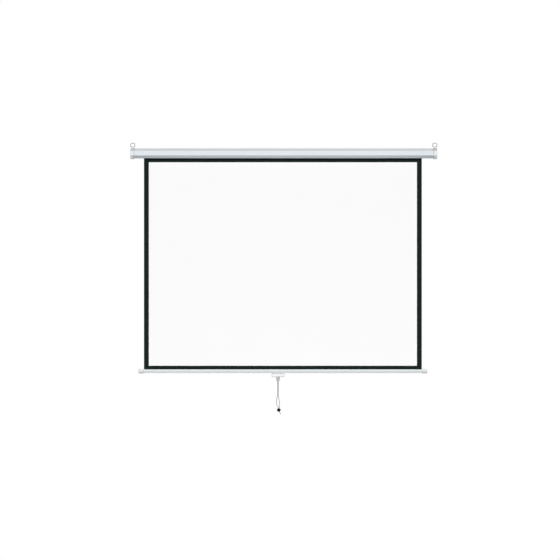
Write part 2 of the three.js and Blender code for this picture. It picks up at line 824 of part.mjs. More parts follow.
// Ball, bored for both strands from above and wider from below, where the end knot seats.
function buildBall() {
  const ball = new THREE.SphereGeometry(ballRadius, roundSides, smallSides);
  const ledge = -endKnotDrop + endKnotRadius + fitGap;
  const bore = rodZ(-ballRadius, ballRadius + cutOver, ballBore);
  const seat = rodZ(-ballRadius - cutOver, ledge, endKnotRadius + fitGap);
  return toGeometry(carve([ball], [bore, seat]));
}

// Knot that stops the ball, with the cord's short tail and its melted end.
function buildEndKnot() {
  const knot = new THREE.SphereGeometry(endKnotRadius, smallSides, smallSides / 2);
  const tailEnd = new THREE.Vector3(tailSpread, 0, -tailLength);
  const path = new THREE.LineCurve3(new THREE.Vector3(0, 0, 0), tailEnd);
  const bulb = new THREE.SphereGeometry(tailBulbRadius, wireSides, wireSides).translate(...tailEnd);
  return toGeometry(carve([knot, tubeAlong(path, cordDiameter, 2, wireSides), bulb]));
}

const screen = new THREE.Group();

// Adds one named piece with a material of its own.
function addPiece(name, geometry, finish, place = [0, 0, 0]) {
  const [color, roughness, metalness] = finish;
  const material = new THREE.MeshStandardMaterial({ color, roughness, metalness });
  const mesh = new THREE.Mesh(geometry, material);
  mesh.name = name;
  mesh.position.set(...place);
  screen.add(mesh);
  return mesh;
}

// Finishes as colour, roughness and metalness
const paintedSteel = [0xdfe6ec, 0.38, 0.1];
const whitePlastic = [0xe9edf0, 0.42, 0];
const zincSteel = [0xa9adb0, 0.4, 0.85];
const galvanised = [0xb4b8b6, 0.45, 0.8];
const greyPlastic = [0x8d9194, 0.5, 0];
const lightGreyPlastic = [0xc6c8c9, 0.45, 0];
const nylon = [0xe4e2d8, 0.5, 0];
const springSteel = [0x55585a, 0.4, 0.8];
const blackCloth = [0x1b2422, 0.85, 0];
const whiteCloth = [0xfbfbfb, 0.9, 0];
const paintedBar = [0xe6edee, 0.35, 0.1];
const greyCord = [0xcfcfd1, 0.85, 0];
const blackBall = [0x0c0c0d, 0.35, 0];

function addCase() {
  addPiece('case_shell', buildCaseShell(), paintedSteel);
  const cap = buildEndCap();
  addPiece('end_cap_left', cap, whitePlastic, [-caseEnd - fitGap - capLength, 0, 0]);
  addPiece('end_cap_right', mirrorX(cap), whitePlastic, [caseEnd + fitGap + capLength, 0, 0]);
  addPiece('end_bracket_left', buildBracket(bladeOpening()), galvanised, [-bracketOuter, 0, 0]);
  addPiece('end_bracket_right', buildBracket(idlerOpening()), galvanised, [bracketInner, 0, 0]);
  const screwLength = capLength + capPlugLength + fitGap + bracketThickness + screwTip;
  const screw = buildScrew(screwLength);
  bossDepths.forEach((depth, i) => {
    const row = i === 0 ? 'rear' : 'front';
    const headX = caseEnd + fitGap + capLength;
    addPiece(`cap_screw_left_${row}`, screw, zincSteel, [-headX, -depth, bossHeights[i]]);
    addPiece(`cap_screw_right_${row}`, mirrorX(screw), zincSteel, [headX, -depth, bossHeights[i]]);
  });
}

function addHangers() {
  const sides = [['left', -strapX], ['right', strapX]];
  for (const [name, x] of sides) {
    addPiece(`hanger_ring_${name}`, buildRing(), zincSteel, [x, -rollerDepth, ringPivotZ]);
    addPiece(`ring_strap_${name}`, buildStrap(), galvanised, [x - strapWidth / 2, -rollerDepth, 0]);
  }
}

function addSpringMotor() {
  const onAxis = (x) => [x, -rollerDepth, rollerRise];
  addPiece('arbor_shaft', buildShaft(), zincSteel, onAxis(-shaftOuter));
  const ratchet = addPiece('ratchet_disc', buildRatchet(), springSteel, onAxis(-ratchetOuter));
  ratchet.rotation.x = latchTurn;
  addPiece('roller_spring', buildSpring(), springSteel, onAxis(springStart + fitGap + springWire / 2));
  const collar = sleeveX(0, collarLength, shaftRadius + pressGap, collarRadius);
  addPiece('spring_collar', collar, greyPlastic, onAxis(collarStart));
}

function addRoller() {
  const onAxis = (x) => [x, -rollerDepth, rollerRise];
  const tube = sleeveX(0, tubeRight - tubeLeft, tubeInner, tubeRadius);
  addPiece('roller_tube', tube, galvanised, onAxis(tubeLeft));
  const carrier = addPiece('pawl_carrier', buildPawlCarrier(), greyPlastic, onAxis(-carrierFace));
  carrier.rotation.x = latchTurn;
  const support = sleeveX(0, supportLength, shaftRadius + fitGap, tubeInner - pressGap);
  addPiece('shaft_support', support, nylon, onAxis(supportStart));
  const plug = turnX([
    [0, bushRadius + pressGap],
    [0, tubeInner - pressGap],
    [plugBody, tubeInner - pressGap],
    [plugBody, tubeRadius],
    [plugBody + plugFlange, tubeRadius],
    [plugBody + plugFlange, bushRadius + pressGap],
    [0, bushRadius + pressGap],
  ]);
  addPiece('idler_plug', plug, greyPlastic, onAxis(idlerFace - plugFlange - plugBody));
  const bush = sleeveX(0, bushLength, idlerRadius + fitGap, bushRadius, smallSides);
  addPiece('idler_bush', bush, nylon, onAxis(idlerFace - bushLength));
  const pinReach = bushLength + runGap + bracketThickness + fitGap;
  const pin = turnX([
    [0, 0],
    [0, idlerRadius],
    [pinReach, idlerRadius],
    [pinReach, idlerHeadRadius],
    [pinReach + idlerHeadHeight, idlerHeadRadius],
    [pinReach + idlerHeadHeight, 0],
  ], smallSides);
  addPiece('idler_pin', pin, zincSteel, onAxis(idlerFace - bushLength));
  addPiece('wound_cloth', buildWoundCloth(), blackCloth, onAxis(clothShift - clothWidth / 2));
}

function addPawls() {
  const pawl = buildPawl();
  const pin = buildPawlPin();
  const pivot = new THREE.Vector2(pawlPivotDepth, pawlPivotRise);
  pivot.rotateAround(new THREE.Vector2(), latchTurn);
  const names = [['pawl_upper', 'pawl_pin_upper', 1], ['pawl_lower', 'pawl_pin_lower', -1]];
  for (const [pawlName, pinName, side] of names) {
    const y = -rollerDepth + side * pivot.x;
    const z = rollerRise + side * pivot.y;
    const pawlX = -carrierFace - fitGap - pawlThickness;
    const mesh = addPiece(pawlName, pawl, springSteel, [pawlX, y, z]);
    mesh.rotation.x = side > 0 ? latchTurn : latchTurn + Math.PI;
    addPiece(pinName, pin, zincSteel, [-carrierFace, y, z]);
  }
}

function addCloth() {
  const front = clothY + clothThickness / 2;
  addPiece('black_border', buildBlackBorder(), blackCloth, [clothShift, front, 0]);
  const picture = block([-pictureWidth / 2, -clothThickness, -pictureHeight], [pictureWidth / 2, 0, 0]);
  addPiece('picture_cloth', picture, whiteCloth, [clothShift, front, pictureTop]);
}

function addBottomBar() {
  const left = clothShift - barLength / 2;
  const right = clothShift + barLength / 2;
  addPiece('bottom_bar', buildBottomBar(), paintedBar, [left, clothY, barTop]);
  const cap = buildBarCap();
  addPiece('bar_cap_left', cap, whitePlastic, [left - fitGap - barCapLength, clothY, barTop]);
  addPiece('bar_cap_right', mirrorX(cap), whitePlastic, [right + fitGap + barCapLength, clothY, barTop]);
  const rodStart = barPlugLength + fitGap;
  const rodEnd = barLength - barPlugLength - fitGap;
  const hemZ = clothFoot - fitGap - hemRodRadius;
  addPiece('hem_rod', rodX(rodStart, rodEnd, hemRodRadius, smallSides), nylon, [left, clothY, hemZ]);
  const weightZ = barTop - barHeight + weightRise;
  const weight = rodX(rodStart, rodEnd, weightRodRadius, smallSides);
  addPiece('weight_rod', weight, galvanised, [left, clothY, weightZ]);
}

function addHandle() {
  addPiece('pull_handle', buildHandle(), whitePlastic, [handleX, clothY, handleTop]);
  addPiece('cord_socket', buildSocket(), lightGreyPlastic, [handleX, clothY, socketTop]);
  const headZ = handleTop - handleScrewFlange - screwHeadHeight;
  const screw = buildScrew(barTop - barHeight + barWall - headZ);
  const names = [['handle_screw_left', -1], ['handle_screw_right', 1]];
  for (const [name, side] of names) {
    const mesh = addPiece(name, screw, zincSteel, [handleX + side * handleScrewSpread, clothY, headZ]);
    mesh.rotation.y = -Math.PI / 2;
  }
}

function addCord() {
  const knot = new THREE.SphereGeometry(topKnotRadius, smallSides, smallSides / 2);
  addPiece('cord_top_knot', knot, greyCord, [handleX, clothY, topKnotZ]);
  const names = [['cord_strand_left', -1], ['cord_strand_right', 1]];
  for (const [name, side] of names) {
    const strand = tubeAlong(strandPath(side), cordDiameter, strandSteps, wireSides);
    addPiece(name, strand, greyCord, [handleX, clothY, topKnotZ]);
  }
  addPiece('cord_ball', buildBall(), blackBall, [ballX, clothY, ballZ]);
  addPiece('cord_end_knot', buildEndKnot(), greyCord, [ballX, clothY, ballZ - endKnotDrop]);
}

addCase();
addHangers();
addSpringMotor();
addRoller();
addPawls();
addCloth();
addBottomBar();
addHandle();
addCord();

export default screen;
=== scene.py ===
import json
import math

import bpy
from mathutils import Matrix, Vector


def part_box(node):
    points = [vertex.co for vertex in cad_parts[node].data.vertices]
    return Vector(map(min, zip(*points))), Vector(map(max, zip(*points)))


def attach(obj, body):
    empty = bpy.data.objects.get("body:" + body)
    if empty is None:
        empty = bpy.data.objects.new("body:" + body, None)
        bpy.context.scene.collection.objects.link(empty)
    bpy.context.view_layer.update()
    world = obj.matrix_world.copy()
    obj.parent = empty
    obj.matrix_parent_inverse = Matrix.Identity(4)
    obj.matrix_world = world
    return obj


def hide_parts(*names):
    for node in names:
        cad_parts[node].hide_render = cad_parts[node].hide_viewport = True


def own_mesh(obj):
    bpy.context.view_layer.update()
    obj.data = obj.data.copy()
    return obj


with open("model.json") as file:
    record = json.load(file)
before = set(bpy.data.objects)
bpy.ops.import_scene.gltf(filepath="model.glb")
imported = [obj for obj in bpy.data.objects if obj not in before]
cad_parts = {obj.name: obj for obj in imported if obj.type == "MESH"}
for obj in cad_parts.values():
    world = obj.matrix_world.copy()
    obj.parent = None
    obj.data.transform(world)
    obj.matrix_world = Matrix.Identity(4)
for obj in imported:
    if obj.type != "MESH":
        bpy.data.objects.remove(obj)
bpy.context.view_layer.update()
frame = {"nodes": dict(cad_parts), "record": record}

# Sizes in metres unless a name says otherwise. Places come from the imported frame.
MM = 0.001
CASE_END_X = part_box("case_shell")[1].x
BAR_FOOT_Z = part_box("bottom_bar")[0].z

# Photograph: its frame in pixels, and where the case's middle lies in it
PHOTO_SIDE_PX = 560
MM_PER_PX = 7.58
CASE_MIDDLE_PX = (283.8, 153.4)
CAMERA_DISTANCE = 30.0
SENSOR_WIDTH_MM = 36.0
NEAREST_SEEN = 1.0
FARTHEST_SEEN = 200.0

# Shortest step of a curve's parameter, so that points that coincide divide by no zero
SMALLEST_STEP = 1e-9

# Lamps: where each stands as seen from the object, its strength and its softness, angles in degrees
LAMPS = (
    {"name": "front_left", "azimuth": -28.0, "elevation": 16.0, "strength": 1.72, "softness": 24.0},
    {"name": "front_right", "azimuth": 28.0, "elevation": 16.0, "strength": 1.76, "softness": 24.0},
    {"name": "back", "azimuth": 178.0, "elevation": 30.0, "strength": 1.9, "softness": 40.0},
    {"name": "top", "azimuth": 20.0, "elevation": 85.0, "strength": 0.2, "softness": 60.0},
)
WORLD_FILL = 0.04
WORLD_IN_GLOSS = 0.7

# Floor: below the photograph's frame, and white where it is lit
FLOOR_HEIGHT = -3.2
FLOOR_HALF_WIDTH = 1.7
FLOOR_HALF_DEPTH = 0.9
FLOOR_GLOW = 0.6
FLOOR_GREY = (0.75, 0.75, 0.75, 1.0)

# Painted shade in patches beside two joints: of the case with its caps, and of the bar with its handle
SEAM_ON_CASE = 5.0 * MM
SEAM_ON_CAP = 7.0 * MM
SEAM_UNDER_BAR = 9.0 * MM
SEAM_SHADE_STRENGTH = 0.45
SHADE_UNDER_BAR_STRENGTH = 0.8
SEAM_SHADE_GREY = (0.30, 0.31, 0.31)

# Dust together with painted shade on painted faces that look up, and painted shade on those that look
# down, by their normal's Z
DUST_AND_SHADE_GREY = (0.52, 0.53, 0.51)
UNDERSIDE_SHADE_GREY = (0.40, 0.47, 0.47)
FACING_FROM = 0.35
FACING_FULL = 0.7

# Worn and shaded edges: how far the edge mask reaches, and how alike eased and flat normals are where it
# is full and gone. On the powder coat the edges are worn; on the mouldings they are darkened with dirt
# and painted shade
EDGE_SAMPLES = 8
EDGE_REACH = 2.5 * MM
HANDLE_EDGE_REACH = 6.0 * MM
SHEET_EDGE_REACH = 0.8 * MM
EDGE_FULL = 0.75
EDGE_GONE = 0.985
WORN_GREY = (0.45, 0.46, 0.46)
WORN_STRENGTH = 0.35

# Stretch of patterns along each axis: below 1 they run long, above 1 they are fine
DRAWN_MARKS = (1.0, 30.0, 30.0)
EVEN_MARKS = (1.0, 1.0, 1.0)
RIPPLE_STRETCH = (0.25, 1.0, 1.0)
FLOW_STRETCH = (1.0, 1.0, 0.4)
FIBRE_STRETCH = (1.0, 1.0, 0.35)

# Angles in degrees past which an edge is drawn sharp
NODE_SHARP_ANGLE = 34.0
BALL_SHARP_ANGLE = 50.0
CLOTH_SHARP_ANGLE = 60.0

# Cloth: its ripples are waves across, waves up and a starting angle
CLOTH_THICKNESS = 0.3 * MM
CLOTH_COLUMNS = 72
CLOTH_ROWS = 56
WAVE_HEIGHT = 0.45 * MM
SLOW_WAVE = (2.3, 0.35, 0.6)
QUICK_WAVE = (5.1, -0.5, 2.1)
QUICK_WAVE_SHARE = 0.35
CALM_SPAN_SHARE = 1.02
CALM_POWER = 0.7

# Pull cord, its knots and its ball
CORD_DIAMETER = 4.5 * MM
STRAND_HALF_GAP = 2.45 * MM
FIT_GAP = 0.3 * MM
TOP_KNOT_RADIUS = 7.0 * MM
TOP_KNOT_RISE = 9.0 * MM
STRAND_DROPS = (106, 118, 127, 138, 150, 165, 181, 194, 203, 209)
LEFT_SPREADS = (-2.5, -2.7, -4.4, -8.0, -10.6, -11.5, -11.0, -7.4, -1.8, 2.6)
RIGHT_SPREADS = (2.5, 2.7, 3.8, 5.8, 7.8, 9.6, 11.6, 12.6, 11.6, 9.2)
BALL_RADIUS = 14.0 * MM
BALL_DROP = 220.0 * MM
BALL_SHIFT = 6.0 * MM
BALL_BORE = 5.2 * MM
BALL_SEAT = 6.8 * MM
BALL_EASE = 0.9 * MM
BALL_STEPS = 40
BALL_SIDES = 64
EASE_STEPS = 6
END_KNOT_RADIUS = 6.5 * MM
END_KNOT_DROP = 9.0 * MM
TAIL_SPREAD = 12.0 * MM
TAIL_LENGTH = 19.0 * MM
TAIL_BULB_RADIUS = 3.1 * MM
TAIL_BOW = 0.8 * MM
BULB_STEPS = 20
BULB_TIP_SHARE = 0.02
KNOT_CORD_SHARE = 0.46
KNOT_STEPS = 90
TREFOIL_REACH = 3.0
CORD_SIDES = 32
CORD_STEP = 0.45 * MM
BRAID_PITCH = 18.0 * MM
BRAID_LOBES = 6
BRAID_DEPTH_SHARE = 0.07

# Hanging rings
RING_WIRE = 5.0 * MM
RING_WIDTH = 31.0 * MM
RING_HEIGHT = 27.5 * MM
RING_FOOT_CORNER = 3.5 * MM
RING_TOP_CORNER = 10.0 * MM
RING_SEAM = 0.6 * MM
RING_ARC_POINTS = 8
RING_STEP = 1.2 * MM
RING_SIDES = 24
STRAP_WIDTH = 14.0 * MM


def centre_of(node):
    """Middle of a CAD node's box."""
    low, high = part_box(node)
    return (low + high) / 2


def make_camera():
    """Camera straight in front, at the photograph's framing."""
    middle_x = (PHOTO_SIDE_PX / 2 - CASE_MIDDLE_PX[0]) * MM_PER_PX * MM
    middle_z = (CASE_MIDDLE_PX[1] - PHOTO_SIDE_PX / 2) * MM_PER_PX * MM
    cloth_y = centre_of("picture_cloth").y
    data = bpy.data.cameras.new("photo_camera")
    data.sensor_width = SENSOR_WIDTH_MM
    data.lens = SENSOR_WIDTH_MM * CAMERA_DISTANCE / (PHOTO_SIDE_PX * MM_PER_PX * MM)
    data.clip_start = NEAREST_SEEN
    data.clip_end = FARTHEST_SEEN
    camera = bpy.data.objects.new("photo_camera", data)
    camera.location = (middle_x, cloth_y - CAMERA_DISTANCE, middle_z)
    camera.rotation_euler = (math.pi / 2, 0.0, 0.0)
    bpy.context.scene.collection.objects.link(camera)
    bpy.context.scene.camera = camera


def chord(a, b):
    """Step of a centripetal curve's parameter between two of its points."""
    return max((b - a).length ** 0.5, SMALLEST_STEP)


def catmull_rom(points, step):
    """Evenly fine points along a centripetal Catmull-Rom curve through the given ones."""
    ends = [points[0] * 2 - points[1], *points, points[-1] * 2 - points[-2]]
    out = [points[0].copy()]
    for p0, p1, p2, p3 in zip(ends, ends[1:], ends[2:], ends[3:]):
        t1 = chord(p0, p1)
        t2 = t1 + chord(p1, p2)
        t3 = t2 + chord(p2, p3)
        count = max(2, round((p2 - p1).length / step))
        for i in range(1, count + 1):
            t = t1 + (t2 - t1) * i / count
            a1 = p0 * ((t1 - t) / t1) + p1 * (t / t1)
            a2 = p1 * ((t2 - t) / (t2 - t1)) + p2 * ((t - t1) / (t2 - t1))
            a3 = p2 * ((t3 - t) / (t3 - t2)) + p3 * ((t - t2) / (t3 - t2))
            b1 = a1 * ((t2 - t) / t2) + a2 * (t / t2)
            b2 = a2 * ((t3 - t) / (t3 - t1)) + a3 * ((t - t1) / (t3 - t1))
            out.append(b1 * ((t2 - t) / (t2 - t1)) + b2 * ((t - t1) / (t2 - t1)))
    return out


def link_mesh(name, verts, faces, material, smooth=True):
    """Makes a mesh object of one material and puts it in the scene."""
    mesh = bpy.data.meshes.new(name)
    mesh.from_pydata([tuple(v) for v in verts], [], faces)
    mesh.materials.append(material)
    mesh.validate()
    mesh.update()
    if smooth:
        mesh.shade_smooth()
    piece = bpy.data.objects.new(name, mesh)
    bpy.context.scene.collection.objects.link(piece)
    return piece


def band(first, second, sides):
    """Four-sided faces between two rings of points, given by where each ring starts."""
    faces = []
    for k in range(sides):
        j = (k + 1) % sides
        faces.append((first + k, first + j, second + j, second + k))
    return faces


def tube(name, points, radius, sides, material, relief=None):
    """Closed tube along a line of points. relief(angle, distance) scales its radius."""
    verts = []
    heights = []
    along = (points[1] - points[0]).normalized()
    side = along.orthogonal().normalized()
    distance = 0.0
    for i, point in enumerate(points):
        before = points[max(i - 1, 0)]
        after = points[min(i + 1, len(points) - 1)]
        heading = (after - before).normalized()
        side = (side - heading * side.dot(heading)).normalized()
        across = heading.cross(side)
        distance += (point - before).length
        for k in range(sides):
            angle = 2 * math.pi * k / sides
            height = relief(angle, distance) if relief else 1.0
            heights.append(height)
            outward = side * math.cos(angle) + across * math.sin(angle)
            verts.append(point + outward * radius * height)
    faces = []
    for i in range(len(points) - 1):
        faces += band(i * sides, (i + 1) * sides, sides)
    last = (len(points) - 1) * sides
    faces.append(tuple(reversed(range(sides))))
    faces.append(tuple(range(last, last + sides)))
    piece = link_mesh(name, verts, faces, material)
    piece.data.attributes.new("relief", "FLOAT", "POINT").data.foreach_set("value", heights)
    return piece


def braid(angle, distance):
    """Relief of a braided sheath: two sets of yarns that wind opposite ways."""
    turn = 2 * math.pi * distance / BRAID_PITCH
    right = math.cos(BRAID_LOBES * angle + BRAID_LOBES * turn)
    left = math.cos(BRAID_LOBES * angle - BRAID_LOBES * turn)
    return 1.0 - BRAID_DEPTH_SHARE + BRAID_DEPTH_SHARE * max(right, left)


def shade(colour, share):
    """A colour made darker or paler."""
    return tuple(c * share for c in colour)


class Nodes:
    """Short-hand for building a node tree."""

    def __init__(self, tree):
        self.nodes = tree.nodes
        self.links = tree.links

    def feed(self, socket, value):
        """Sets an input, to a value or from another node."""
        if hasattr(value, "is_output"):
            self.links.new(value, socket)
        else:
            socket.default_value = value

    def add(self, kind, **values):
        """Adds a node. Values set its properties, or its inputs where it has no such property."""
        node = self.nodes.new(kind)
        for key, value in values.items():
            if hasattr(node, key):
                setattr(node, key, value)
            else:
                self.feed(node.inputs[key.replace("_", " ")], value)
        return node

    def maths(self, operation, first, second=0.5):
        """One step of arithmetic."""
        node = self.add("ShaderNodeMath", operation=operation)
        self.feed(node.inputs[0], first)
        self.feed(node.inputs[1], second)
        return node.outputs["Value"]


class Shader(Nodes):
    """Short-hand for building a material's nodes."""

    def __init__(self, name):
        self.material = bpy.data.materials.new(name)
        self.material.use_nodes = True
        super().__init__(self.material.node_tree)
        self.surface = self.nodes["Principled BSDF"]
        self.place = self.add("ShaderNodeTexCoord").outputs["Object"]

    def set(self, **values):
        """Sets the surface's inputs."""
        for key, value in values.items():
            self.feed(self.surface.inputs[key.replace("_", " ")], value)

    def split(self, vector):
        """Outputs X, Y and Z of a vector."""
        return self.add("ShaderNodeSeparateXYZ", Vector=vector).outputs

    def stretched(self, scale):
        """The object's own places, scaled along each axis."""
        return self.add("ShaderNodeMapping", Scale=scale, Vector=self.place).outputs["Vector"]

    def noise(self, scale, detail, vector=None):
        """Cloudy pattern from 0 to 1."""
        node = self.add("ShaderNodeTexNoise", Scale=scale, Detail=detail, Vector=vector or self.place)
        return node.outputs["Fac"]

    def spread(self, value, low=0.0, high=1.0, low_in=0.3, high_in=0.7):
        """Maps the middle of a pattern's range to another range."""
        node = self.add("ShaderNodeMapRange", Value=value, To_Min=low, To_Max=high)
        self.feed(node.inputs["From Min"], low_in)
        self.feed(node.inputs["From Max"], high_in)
        return node.outputs["Result"]

    def blend(self, share, first, second):
        """Mixes two colours."""
        node = self.add("ShaderNodeMix", data_type="RGBA", Factor=share)
        sockets = [s for s in node.inputs if s.type == "RGBA"]
        for socket, colour in zip(sockets, (first, second)):
            self.feed(socket, colour if hasattr(colour, "is_output") else (*colour, 1.0))
        return [s for s in node.outputs if s.type == "RGBA"][0]

    def bump(self, height, distance, strength, under=None):
        """Turns a pattern into relief of that distance in height, on top of another relief."""
        node = self.add("ShaderNodeBump", Height=height, Distance=distance, Strength=strength)
        if under is not None:
            self.feed(node.inputs["Normal"], under)
        return node.outputs["Normal"]

    def seam_shade(self, base, axis, seam, reach, strength=SEAM_SHADE_STRENGTH):
        """Paints shade beside a joint: darkens a colour there, given by how far from the middle it lies
        along an axis.
        """
        outward = self.maths("ABSOLUTE", self.split(self.place)[axis])
        distance = self.maths("ABSOLUTE", self.maths("SUBTRACT", outward, abs(seam)))
        near = self.spread(distance, strength, 0.0, 0.0, reach)
        patches = self.spread(self.noise(scale=300.0, detail=3.0), 0.6, 1.0)
        return self.blend(self.maths("MULTIPLY", near, patches), base, SEAM_SHADE_GREY)

    def edges(self, reach):
        """Pattern that is 1 along edges and 0 on open faces, and the normal of edges so eased."""
        eased = self.add("ShaderNodeBevel", samples=EDGE_SAMPLES, Radius=reach).outputs["Normal"]
        flat = self.add("ShaderNodeNewGeometry").outputs["Normal"]
        alike = self.add("ShaderNodeVectorMath", operation="DOT_PRODUCT")
        self.feed(alike.inputs[0], eased)
        self.feed(alike.inputs[1], flat)
        return self.spread(alike.outputs["Value"], 1.0, 0.0, EDGE_FULL, EDGE_GONE), eased


def powder_coat(name, colour, top_dust_and_shade, underside_shade=0.0):
    """White powder coat on sheet metal: orange peel, clouds, dust and painted shade on top faces, painted
    shade below.
    """
    s = Shader(name)
    clouds = s.spread(s.noise(scale=2.3, detail=4.0))
    base = s.blend(clouds, colour, shade(colour, 1.03))
    facing = s.split(s.add("ShaderNodeNewGeometry").outputs["Normal"])["Z"]
    # Dust and painted shade: faces that look up are darkened in specks
    upward = s.spread(facing, 0.0, top_dust_and_shade, FACING_FROM, FACING_FULL)
    specks = s.spread(s.noise(scale=420.0, detail=6.0), 0.6, 1.0)
    base = s.blend(s.maths("MULTIPLY", upward, specks), base, DUST_AND_SHADE_GREY)
    # Painted shade: faces that look down are darkened
    downward = s.spread(facing, underside_shade, 0.0, -FACING_FULL, -FACING_FROM)
    base = s.blend(downward, base, UNDERSIDE_SHADE_GREY)
    # Painted shade on the case beside its end caps
    base = s.seam_shade(base, "X", CASE_END_X, SEAM_ON_CASE)
    edge_mask, eased = s.edges(SHEET_EDGE_REACH)
    base = s.blend(s.maths("MULTIPLY", edge_mask, WORN_STRENGTH), base, WORN_GREY)
    peel = s.noise(scale=620.0, detail=2.0)
    ripple = s.noise(scale=9.0, detail=1.0, vector=s.stretched(RIPPLE_STRETCH))
    relief = s.bump(peel, distance=0.06 * MM, strength=0.6, under=eased)
    relief = s.bump(ripple, distance=0.6 * MM, strength=0.5, under=relief)
    rubbed = s.spread(s.noise(scale=60.0, detail=3.0), 0.38, 0.5)
    s.set(Base_Color=base, Roughness=rubbed, Normal=relief, Specular_IOR_Level=0.4)
    return s.material


def moulded_plastic(name, colour, roughness, grain=900.0, edge_reach=EDGE_REACH, edge_dirt_and_shade=0.3):
    """Moulded plastic: fine eroded grain, flow marks, rubbed patches, painted shade beside joints, and
    eased edges darkened with dirt and painted shade.
    """
    s = Shader(name)
    flow = s.noise(scale=14.0, detail=3.0, vector=s.stretched(FLOW_STRETCH))
    base = s.blend(s.spread(flow), shade(colour, 0.96), colour)
    # Painted shade on the mouldings beside the case's ends and under the bar's foot
    base = s.seam_shade(base, "X", CASE_END_X, SEAM_ON_CAP)
    base = s.seam_shade(base, "Z", BAR_FOOT_Z, SEAM_UNDER_BAR, SHADE_UNDER_BAR_STRENGTH)
    edge_mask, eased = s.edges(edge_reach)
    patches = s.spread(s.noise(scale=220.0, detail=3.0), edge_dirt_and_shade * 0.7, edge_dirt_and_shade)
    # Dirt and painted shade on eased edges: they are darkened in patches
    base = s.blend(s.maths("MULTIPLY", edge_mask, patches), base, shade(colour, 0.45))
    rubbed = s.spread(s.noise(scale=45.0, detail=4.0), roughness - 0.06, roughness + 0.08)
    relief = s.bump(s.noise(scale=grain, detail=3.0), distance=0.05 * MM, strength=0.5, under=eased)
    s.set(Base_Color=base, Roughness=rubbed, Normal=relief, Specular_IOR_Level=0.25)
    return s.material


def metal(name, colour, roughness, marks_stretch, scale):
    """Plated or bare steel with drawing marks and clouded plating."""
    s = Shader(name)
    marks = s.noise(scale=scale, detail=4.0, vector=s.stretched(marks_stretch))
    clouds = s.spread(s.noise(scale=90.0, detail=3.0))
    s.set(Base_Color=s.blend(clouds, shade(colour, 0.82), colour), Metallic=1.0)
    s.set(Roughness=s.spread(marks, roughness - 0.08, roughness + 0.12))
    s.set(Normal=s.bump(marks, distance=0.03 * MM, strength=0.5))
    return s.material


def woven_cloth(name, colour, pitch, depth, roughness, fade):
    """Coated cloth: a fine plain weave under the coating, with faint clouds."""
    s = Shader(name)
    place = s.split(s.place)
    warp = s.maths("SINE", s.maths("MULTIPLY", place["X"], 2 * math.pi / pitch))
    weft = s.maths("SINE", s.maths("MULTIPLY", place["Z"], 2 * math.pi / pitch))
    relief = s.bump(s.maths("MULTIPLY", warp, weft), distance=depth, strength=0.6)
    relief = s.bump(s.noise(scale=1500.0, detail=2.0), distance=depth, strength=0.4, under=relief)
    clouds = s.spread(s.noise(scale=3.0, detail=3.0))
    s.set(Base_Color=s.blend(clouds, shade(colour, 1.0 - fade), colour), Normal=relief)
    s.set(Roughness=roughness, Specular_IOR_Level=0.1)
    return s.material


def cord_yarn(name, colour):
    """Braided polyester yarn, with painted shade in the grooves between the strands of its braid."""
    s = Shader(name)
    fibres = s.noise(scale=1600.0, detail=4.0, vector=s.stretched(FIBRE_STRETCH))
    yarn = s.blend(s.spread(fibres), shade(colour, 0.8), colour)
    height = s.add("ShaderNodeAttribute", attribute_name="relief").outputs["Fac"]
    groove, crest = 1.0 - BRAID_DEPTH_SHARE * 0.8, 1.0 - BRAID_DEPTH_SHARE * 0.2
    raised = s.spread(height, low_in=groove, high_in=crest)
    # Painted shade: the yarn is darkened where the braid's relief is low
    s.set(Base_Color=s.blend(raised, shade(colour, 0.45), yarn))
    s.set(Roughness=0.75, Sheen_Weight=0.25, Normal=s.bump(fibres, distance=0.2 * MM, strength=0.7))
    return s.material


def glossy_black(name):
    """Smooth black plastic with faint handling marks."""
    s = Shader(name)
    smears = s.noise(scale=160.0, detail=4.0)
    s.set(Base_Color=s.blend(smears, (0.004, 0.004, 0.005), (0.010, 0.010, 0.011)))
    s.set(Roughness=s.spread(smears, 0.34, 0.50), Specular_IOR_Level=0.06)
    s.set(Normal=s.bump(s.noise(scale=700.0, detail=2.0), distance=0.03 * MM, strength=0.4))
    return s.material


